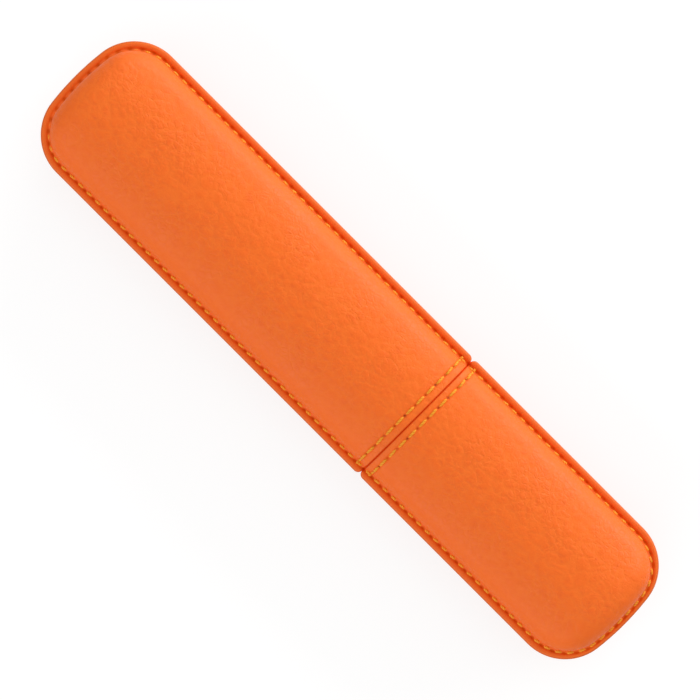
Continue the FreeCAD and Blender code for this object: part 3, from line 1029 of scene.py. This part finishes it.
def remapped(tree, value, span, result):
    """Output of a smooth Map Range node, from the span of the value to the span of the result."""
    limits = {"From Min": span[0], "From Max": span[1], "To Min": result[0], "To Max": result[1]}
    inputs = {"Value": value, **limits}
    return add_node(tree, "ShaderNodeMapRange", inputs, interpolation_type="SMOOTHSTEP").outputs["Result"]


def noise_texture(tree, place, scale, detail):
    """Noise texture, whose outputs are a value and a colour."""
    return add_node(tree, "ShaderNodeTexNoise", {"Vector": place, "Scale": scale, "Detail": detail})


def object_place(tree, stretch=None):
    """Object coordinates, drawn out by a stretch along each axis if one is given."""
    place = add_node(tree, "ShaderNodeTexCoord").outputs["Object"]
    if stretch is None:
        return place
    return add_node(tree, "ShaderNodeMapping", {"Scale": stretch, "Vector": place}).outputs[0]


def bumped(tree, height, strength, distance):
    """Normal from a height."""
    bump = add_node(tree, "ShaderNodeBump", {"Strength": strength, "Distance": distance, "Height": height})
    return bump.outputs["Normal"]


def new_material(name):
    """Empty node material with its Principled shader."""
    material = bpy.data.materials.new(name)
    material.use_nodes = True
    tree = material.node_tree
    return material, tree, tree.nodes["Principled BSDF"]


def finish_of(make, *settings):
    """Material that its function makes once and that bears its name."""
    return bpy.data.materials.get(make.__name__) or make(*settings)


# Materials

def leather_grain_group():
    """Grain of leather: pebbles parted by creases, fine pores and a cloudy tone."""
    wander_share, wander_detail, wander_reach = 0.45, 2.0, 1.1
    cell_shares = (1.0, 2.1)
    pore_share, pore_detail, cloud_share, cloud_detail = 6.0, 3.0, 0.12, 4.0
    small_height, pore_height = 0.35, 0.35
    cloud_span, patch_span = (0.35, 0.65), (0.35, 1.0)
    found = bpy.data.node_groups.get("leather_grain")
    if found:
        return found
    tree = bpy.data.node_groups.new("leather_grain", "ShaderNodeTree")
    sockets = (
        ("Vector", "INPUT", "NodeSocketVector"),
        ("Pebble Scale", "INPUT", "NodeSocketFloat"),
        ("Crease Width", "INPUT", "NodeSocketFloat"),
        ("Height", "OUTPUT", "NodeSocketFloat"),
        ("Crease", "OUTPUT", "NodeSocketFloat"),
        ("Tone", "OUTPUT", "NodeSocketFloat"),
    )
    for name, way, kind in sockets:
        tree.interface.new_socket(name, in_out=way, socket_type=kind)
    start, end = tree.nodes.new("NodeGroupInput"), tree.nodes.new("NodeGroupOutput")
    place, scale, crease_width = (start.outputs[number] for number in range(3))

    wander = noise_texture(tree, place, times(tree, scale, wander_share), wander_detail).outputs["Color"]
    shift = shifted(tree, "SUBTRACT", {0: wander, 1: (0.5, 0.5, 0.5)})
    shift = shifted(tree, "SCALE", {0: shift, "Scale": calculate(tree, "DIVIDE", wander_reach, scale)})
    warped = shifted(tree, "ADD", {0: place, 1: shift})
    heights = []
    for share in cell_shares:
        inputs = {"Vector": warped, "Scale": times(tree, scale, share)}
        cells = add_node(tree, "ShaderNodeTexVoronoi", inputs, feature="DISTANCE_TO_EDGE")
        ratio = calculate(tree, "DIVIDE", cells.outputs["Distance"], crease_width, clamp=True)
        heights.append(remapped(tree, ratio, (0, 1), (0, 1)))
    pores = noise_texture(tree, place, times(tree, scale, pore_share), pore_detail).outputs[0]
    cloud = noise_texture(tree, place, times(tree, scale, cloud_share), cloud_detail).outputs[0]
    patch = remapped(tree, cloud, cloud_span, patch_span)
    height = plus(tree, times(tree, heights[0], patch), times(tree, heights[1], small_height))
    height = plus(tree, height, times(tree, pores, pore_height))
    crease = times(tree, calculate(tree, "SUBTRACT", 1.0, heights[0]), patch)
    feed(tree, end, {"Height": height, "Crease": crease, "Tone": cloud})
    return tree


def leather_grain(tree, pebble_size, crease_width):
    """Height, crease and tone of the leather grain on object coordinates, placed in a material."""
    inputs = {"Vector": object_place(tree), "Pebble Scale": 1 / pebble_size, "Crease Width": crease_width}
    grain = add_node(tree, "ShaderNodeGroup", node_tree=leather_grain_group())
    feed(tree, grain, inputs)
    return (grain.outputs[name] for name in ("Height", "Crease", "Tone"))


def outer_leather(name, leather, sewing, gloss):
    """Pebbled leather, with painted shade in the sewn channel, between the stitches, in the needle holes
    and where the mouths meet, a painted highlight on the lines between the pebbles, and smooth where its
    edges are painted.
    """
    pebble_share, crease_width = 0.5, 0.2
    pore_weight, tone_weight, line_weight, crease_weight = 0.45, 0.3, 0.45, 0.25
    roughness_span, drawn_roughness = (0.62, 0.5), 0.4
    bump_strength, bump_depth = 0.6, 0.00008
    marks = (
        "seam_shade", "needle_hole", "edge_paint", "mouth_edge", "grain_line", "grain_pore", "grain_share"
    )
    material, tree, shader = new_material(name)
    height, crease, tone = leather_grain(tree, pebble_share * leather.pebble_size, crease_width)
    shade, hole, paint, mouth, line, pore, share = (
        add_node(tree, "ShaderNodeAttribute", attribute_name=mark).outputs["Fac"] for mark in marks
    )
    # Darker cloudy patches at random, and painted shade in the pores
    dark = plus(tree, times(tree, pore, pore_weight), remapped(tree, tone, NOISE_SPAN, (0.0, tone_weight)))
    fine_line_highlight = times(tree, times(tree, crease, share), crease_weight)
    # Coats over the leather's colour: darker patches with painted shade in the pores, a painted highlight
    # on the pebble lines and the sewn edge, edge paint, and painted shade in the seam, at the mouths and in
    # the needle holes
    coats = (
        (dark, leather.pore_colour),
        (plus(tree, times(tree, line, line_weight), fine_line_highlight), leather.line_colour),
        (paint, leather.edge_colour),
        (shade, leather.seam_colour),
        (mouth, leather.mouth_colour),
        (hole, sewing.hole_colour),
    )
    colour = leather.colour
    for factor, coat_colour in coats:
        colour = mixed(tree, factor, colour, coat_colour)
    rough = remapped(tree, height, GRAIN_SPAN, roughness_span)
    feed(tree, shader, {
        "Base Color": colour,
        "Roughness": plus(tree, rough, times(tree, shade, drawn_roughness), clamp=True),
        "Specular IOR Level": gloss,
        "Normal": bumped(tree, times(tree, height, share), bump_strength, bump_depth),
    })
    return material


def sleeve_leather(inside, leather):
    """Smooth thin leather with a fine grain, painted shade in its creases and a darker cloudy tone at
    random.
    """
    pebble_share, crease_width = 0.6, 0.12
    tone_weight, crease_weight = 0.35, 0.3
    roughness_span = (0.5, 0.4)
    bump_strength, bump_depth = 0.4, 0.00003
    material, tree, shader = new_material("sleeve_leather")
    height, crease, tone = leather_grain(tree, pebble_share * leather.pebble_size, crease_width)
    tone = remapped(tree, tone, NOISE_SPAN, (0.0, tone_weight))
    # Painted shade in the creases, and a darker cloudy tone at random
    factor = plus(tree, times(tree, crease, crease_weight), tone)
    feed(tree, shader, {
        "Base Color": mixed(tree, factor, inside.sleeve_colour, leather.seam_colour),
        "Roughness": remapped(tree, height, GRAIN_SPAN, roughness_span),
        "Normal": bumped(tree, height, bump_strength, bump_depth),
    })
    return material


def brushed_suede(inside):
    """Short brushed nap with streaks where it lies another way."""
    nap_scale, nap_detail, nap_weight = 5200.0, 3.0, 0.6
    streak_scale, streak_detail = 110.0, 5.0
    streak_stretch, streak_span = (1.0, 3.0, 3.0), (0.55, 1.05)
    roughness_span, bump_strength, bump_depth = (0.98, 0.86), 0.5, 0.00008
    material, tree, shader = new_material("brushed_suede")
    nap = noise_texture(tree, object_place(tree), nap_scale, nap_detail).outputs[0]
    streak_place = object_place(tree, streak_stretch)
    streak = noise_texture(tree, streak_place, streak_scale, streak_detail).outputs[0]
    factor = remapped(tree, plus(tree, times(tree, nap, nap_weight), streak), streak_span, (0.0, 1.0))
    feed(tree, shader, {
        "Base Color": mixed(tree, factor, inside.suede_colour, inside.suede_shade_colour),
        "Roughness": remapped(tree, nap, NOISE_SPAN, roughness_span),
        "Sheen Weight": 0.25,
        "Sheen Roughness": 0.5,
        "Normal": bumped(tree, nap, bump_strength, bump_depth),
    })
    return material


def pressed_board(inside, leather, mouth_x, paint_reach):
    """Fibre board, painted like the leather's edge where it ends at the mouths."""
    fibre_scale, fibre_detail, fibre_stretch = 1500.0, 5.0, (0.3, 1.0, 1.0)
    fleck_span = (0.42, 0.68)
    full_paint_share, roughness_span = 0.7, (0.9, 0.75)
    bump_strength, bump_depth = 0.4, 0.00005
    material, tree, shader = new_material("pressed_board")
    fibre = noise_texture(tree, object_place(tree, fibre_stretch), fibre_scale, fibre_detail).outputs[0]
    fleck = remapped(tree, fibre, fleck_span, (0.0, 1.0))
    along = add_node(tree, "ShaderNodeSeparateXYZ", {"Vector": object_place(tree)}).outputs["X"]
    away = calculate(tree, "ABSOLUTE", calculate(tree, "SUBTRACT", along, mouth_x), 0.0)
    paint = remapped(tree, away, (full_paint_share * paint_reach, paint_reach), (1.0, 0.0))
    colour = mixed(tree, fleck, inside.board_colour, inside.board_fleck_colour)
    feed(tree, shader, {
        "Base Color": mixed(tree, paint, colour, leather.edge_colour),
        "Roughness": remapped(tree, fibre, NOISE_SPAN, roughness_span),
        "Normal": bumped(tree, fibre, bump_strength, bump_depth),
    })
    return material


def twisted_thread(sewing):
    """Two twisted strands, with darker lines where they meet."""
    turns, strands, strand_span = 3.0, 2.0, (0.0, 0.32)
    fuzz_scale, fuzz_detail, fuzz_weight = 6000.0, 2.0, 0.3
    roughness_span, bump_strength, bump_depth = (0.5, 0.65), 0.4, 0.00008
    material, tree, shader = new_material("twisted_thread")
    wrap = add_node(tree, "ShaderNodeUVMap", uv_map="wrap").outputs["UV"]
    along, around = add_node(tree, "ShaderNodeSeparateXYZ", {"Vector": wrap}).outputs[:2]
    phase = plus(tree, times(tree, along, turns), times(tree, around, strands))
    strand = remapped(tree, calculate(tree, "PINGPONG", phase, 0.5), strand_span, (0.0, 1.0))
    fuzz = noise_texture(tree, object_place(tree), fuzz_scale, fuzz_detail).outputs[0]
    tone = remapped(tree, fuzz, NOISE_SPAN, (0.0, fuzz_weight))
    lit = calculate(tree, "SUBTRACT", strand, tone, clamp=True)
    feed(tree, shader, {
        "Base Color": mixed(tree, lit, sewing.shade_colour, sewing.colour),
        "Roughness": remapped(tree, fuzz, NOISE_SPAN, roughness_span),
        "Specular IOR Level": 0.25,
        "Normal": bumped(tree, strand, bump_strength, bump_depth),
    })
    return material


def seen_directly(tree):
    """1 for what the camera sees, also by gloss or through glass, and 0 for what only lights the case."""
    path = add_node(tree, "ShaderNodeLightPath")
    seen = calculate(tree, "MAXIMUM", path.outputs["Is Camera Ray"], path.outputs["Is Glossy Ray"])
    return calculate(tree, "MAXIMUM", seen, path.outputs["Is Transmission Ray"])


def studio_floor(stage):
    """Matt pale floor that the camera sees a little lighter, so that it is white out of the shadow."""
    patch_scale, patch_detail, patch_shade = 3.0, 2.0, 0.98
    material, tree, shader = new_material("studio_floor")
    tone = noise_texture(tree, object_place(tree), patch_scale, patch_detail).outputs[0]
    patch_colour = [patch_shade * part for part in stage.floor_colour[:3]] + [1.0]
    feed(tree, shader, {
        "Base Color": mixed(tree, tone, stage.floor_colour, patch_colour),
        "Roughness": 0.9,
        "Specular IOR Level": 0.0,
        "Emission Color": seen_directly(tree),
        "Emission Strength": stage.floor_glow,
    })
    return material


# Stage

def add_floor(stage):
    """Plain square floor under the case."""
    bm = bmesh.new()
    bmesh.ops.create_grid(bm, x_segments=1, y_segments=1, size=stage.floor_size / 2)
    bmesh.ops.translate(bm, verts=bm.verts, vec=(0, 0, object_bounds()[0].z))
    finished_piece(bm, "studio_floor", Matrix.Identity(4), studio_floor(stage))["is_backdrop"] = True


def add_softbox(name, place, power, stage):
    """Large area light turned towards the case."""
    lamp = bpy.data.lights.new(name, "AREA")
    lamp.shape = "RECTANGLE"
    lamp.size, lamp.size_y = stage.softbox_width, stage.softbox_height
    lamp.energy = power
    softbox = bpy.data.objects.new(name, lamp)
    softbox.location = place
    softbox.rotation_euler = (-Vector(place)).to_track_quat("-Z", "Y").to_euler()
    softbox.visible_camera = False
    bpy.context.scene.collection.objects.link(softbox)


def add_sky(scene, strength):
    """Even light from all round, white where it is seen."""
    world = bpy.data.worlds.new("studio_sky")
    world.use_nodes = True
    tree = world.node_tree
    seen_strength = remapped(tree, seen_directly(tree), (0, 1), (strength, 1.0))
    feed(tree, tree.nodes["Background"], {"Color": (1, 1, 1, 1), "Strength": seen_strength})
    scene.world = world


def add_camera(scene, stage):
    """Long lens straight above, turned so that the case lies from the upper left to the lower right."""
    lens = bpy.data.cameras.new("camera")
    lens.lens = lens.sensor_width * stage.camera_height / stage.view_width
    lens.clip_end = 2 * stage.floor_size
    camera = bpy.data.objects.new("camera", lens)
    camera.location = (0, stage.camera_side, SEAM_Z + stage.camera_height)
    camera.rotation_euler = (0, 0, stage.camera_turn)
    scene.collection.objects.link(camera)
    scene.camera = camera


# Operators

class PENSLEEVE_OT_leather_panels(bpy.types.Operator):
    """Moulded leather panels, front and back of the body and of the cap"""

    bl_idname = "pensleeve.leather_panels"
    bl_label = "Leather panels"

    def execute(self, context):
        settings = context.scene.pen_sleeve
        form, leather, sewing = settings.form, settings.leather, settings.sewing
        face_finish = outer_leather("pebbled_leather", leather, sewing, leather.gloss)
        drawn_finish = outer_leather("drawn_leather", leather, sewing, leather.drawn_gloss)
        dice = random.Random(HOLE_SEED)
        noise.seed_set(GRAIN_SEED)
        face_rows = [math.ceil(reach / leather.mesh_step) for reach in (WALL_REACH, CROWN_REACH)]
        for half_number, half in enumerate(HALVES):
            plan = HalfPlan(half, form)
            stations = mouth_stations(plan, sewing, leather.mesh_step)
            columns = plan.columns(leather.mesh_step, stations, form.foot_draw)
            edge = leather_edge(columns, plan)
            for side_number, side in enumerate(SIDES):
                along = seam_line(columns, sewing, plan.hand(side))[1]
                insets, rows = (0.0, form.leather_thickness), (face_rows, LEATHER_BACK_ROWS)
                bm = panel_mesh(plan, columns, edge, insets, rows, along)
                seed = GRAIN_SHIFT * Vector((half_number, side_number, 1))
                shape_leather(bm, plan, settings, seed, dice, plan.hand(side))
                fill_open_edges(bm)
                smooth_quads(bm)
                shade = bm.verts.layers.float["seam_shade"]
                for face in bm.faces:
                    face.material_index = int(min(vert[shade] for vert in face.verts) > leather.drawn_from)
                name = f"{half}_{side}_panel"
                piece = finished_piece(bm, name, plan.matrix(side), face_finish, drawn_finish)
                seat(piece, half, "leather", f"{half}_{side}_leather")
        return {"FINISHED"}


class PENSLEEVE_OT_linings(bpy.types.Operator):
    """Suede linings inside both halves"""

    bl_idname = "pensleeve.linings"
    bl_label = "Linings"

    def execute(self, context):
        settings = context.scene.pen_sleeve
        form, inside = settings.form, settings.inside
        insets = (form.lining_inset, form.lining_inset + form.lining_thickness)
        for half in HALVES:
            plan = HalfPlan(half, form)
            columns = plan.columns(inside.lining_mesh_step, np.array([0.0, form.mouth_corner_radius]))
            edge = lining_edge(columns, plan)
            unsewn = np.zeros(len(columns.place))
            for side in SIDES:
                bm = panel_mesh(plan, columns, edge, insets, (LINING_ROWS, LINING_ROWS), unsewn)
                drop_marks(bm, FACE_MARKS)
                fill_open_edges(bm)
                smooth_quads(bm)
                suede = finish_of(brushed_suede, inside)
                piece = finished_piece(bm, f"{half}_{side}_suede", plan.matrix(side), suede)
                seat(piece, half, "lining", f"{half}_{side}_lining")
        return {"FINISHED"}


class PENSLEEVE_OT_boards(bpy.types.Operator):
    """Finish of the boards under the leather and of the sleeve's core"""

    bl_idname = "pensleeve.boards"
    bl_label = "Boards"

    def execute(self, context):
        settings = context.scene.pen_sleeve
        body_mouth, cap_mouth = (HalfPlan(half, settings.form).mouth_x for half in HALVES)
        middle = (body_mouth + cap_mouth) / 2
        material = pressed_board(settings.inside, settings.leather, middle, cap_mouth - body_mouth)
        for half in HALVES:
            for side in SIDES:
                dress_node(f"{half}_{side}_stiffener", material)
        dress_node("sleeve_core", material)
        return {"FINISHED"}


class PENSLEEVE_OT_edge_stitching(bpy.types.Operator):
    """Stitches round the sewn edges"""

    bl_idname = "pensleeve.edge_stitching"
    bl_label = "Edge stitching"

    def execute(self, context):
        settings = context.scene.pen_sleeve
        sewing = settings.sewing
        length, width = sewing.edge_stitch_length, sewing.edge_thread_width
        sizes = (length, width, sewing.thread_height, sewing.edge_stitch_bow)
        dice = random.Random(EDGE_SEED)
        for half in HALVES:
            frames = edge_frames(HalfPlan(half, settings.form), settings, dice)
            thread = finish_of(twisted_thread, sewing)
            piece = sewn_row(f"{half}_edge_stitching", frames, stitch_mesh(*sizes), thread)
            seat(piece, half, "thread", f"{half}_edge_thread")
        return {"FINISHED"}


class PENSLEEVE_OT_mouth_stitching(bpy.types.Operator):
    """Rows of stitches across the panels at both mouths"""

    bl_idname = "pensleeve.mouth_stitching"
    bl_label = "Mouth stitching"

    def execute(self, context):
        settings = context.scene.pen_sleeve
        sewing = settings.sewing
        sizes = (sewing.mouth_stitch_length, sewing.thread_width, sewing.thread_height, 0.0)
        dice = random.Random(ROW_SEED)
        for half in HALVES:
            for side in SIDES:
                frames = mouth_frames(HalfPlan(half, settings.form), settings, side, dice)
                thread = finish_of(twisted_thread, sewing)
                piece = sewn_row(f"{half}_{side}_mouth_stitching", frames, stitch_mesh(*sizes), thread)
                seat(piece, half, "thread", f"{half}_{side}_mouth_thread")
        return {"FINISHED"}


class PENSLEEVE_OT_inner_sleeve(bpy.types.Operator):
    """Leather cover and suede lining of the inner sleeve"""

    bl_idname = "pensleeve.inner_sleeve"
    bl_label = "Inner sleeve"

    def execute(self, context):
        settings = context.scene.pen_sleeve
        inside = settings.inside
        plan = HalfPlan("body", settings.form)
        outline = sleeve_outline(plan, inset_of(plan, "sleeve_cover"), FINE_POINTS)
        count = math.ceil(run_length(outline)[-1] / inside.sleeve_mesh_step)
        leather = sleeve_leather(inside, settings.leather)
        suede = finish_of(brushed_suede, inside)
        cover = tube_mesh(plan, cover_rows(plan, inside), count)
        cover = finished_piece(cover, "sleeve_turned_cover", Matrix.Identity(4), leather)
        seat(cover, "body", "sleeve_leather", "sleeve_cover")
        lining = tube_mesh(plan, lining_rows(plan, inside), count)
        lining = finished_piece(lining, "sleeve_suede", Matrix.Identity(4), suede)
        seat(lining, "body", "lining", "sleeve_lining")
        return {"FINISHED"}


class PENSLEEVE_OT_stage(bpy.types.Operator):
    """Floor, soft lights and the camera straight above"""

    bl_idname = "pensleeve.stage"
    bl_label = "Stage"

    def execute(self, context):
        scene = context.scene
        stage = scene.pen_sleeve.stage
        add_floor(stage)
        add_softbox("key_light", stage.key_place, stage.key_power, stage)
        add_softbox("fill_light", stage.fill_place, stage.fill_power, stage)
        add_sky(scene, stage.sky_strength)
        add_camera(scene, stage)
        scene.view_settings.view_transform = "Standard"
        return {"FINISHED"}


class PENSLEEVE_PT_panel(bpy.types.Panel):
    """Steps and settings of the pen sleeve"""

    bl_label = "Pen sleeve"
    bl_idname = "PENSLEEVE_PT_panel"
    bl_space_type = "VIEW_3D"
    bl_region_type = "UI"
    bl_category = "Pen sleeve"

    def draw(self, context):
        for step in STEPS:
            self.layout.operator(step.bl_idname)
        settings = context.scene.pen_sleeve
        for group in (settings.form, settings.leather, settings.sewing, settings.inside, settings.stage):
            box = self.layout.box()
            for name in group.bl_rna.properties.keys():
                if name not in ("rna_type", "name"):
                    box.prop(group, name)


STEPS = (
    PENSLEEVE_OT_leather_panels,
    PENSLEEVE_OT_linings,
    PENSLEEVE_OT_boards,
    PENSLEEVE_OT_edge_stitching,
    PENSLEEVE_OT_mouth_stitching,
    PENSLEEVE_OT_inner_sleeve,
    PENSLEEVE_OT_stage,
)
SETTINGS = (FormSizes, LeatherFinish, SewingFinish, InsideFinish, StageSetup, PenSleeveSettings)
CLASSES = SETTINGS + STEPS + (PENSLEEVE_PT_panel,)


def register():
    for item in CLASSES:
        bpy.utils.register_class(item)
    bpy.types.Scene.pen_sleeve = PointerProperty(type=PenSleeveSettings)


def unregister():
    del bpy.types.Scene.pen_sleeve
    for item in reversed(CLASSES):
        bpy.utils.unregister_class(item)


def main():
    register()
    bpy.ops.pensleeve.leather_panels()
    bpy.ops.pensleeve.linings()
    bpy.ops.pensleeve.boards()
    bpy.ops.pensleeve.edge_stitching()
    bpy.ops.pensleeve.mouth_stitching()
    bpy.ops.pensleeve.inner_sleeve()
    bpy.ops.pensleeve.stage()


if __name__ == "__main__":
    main()
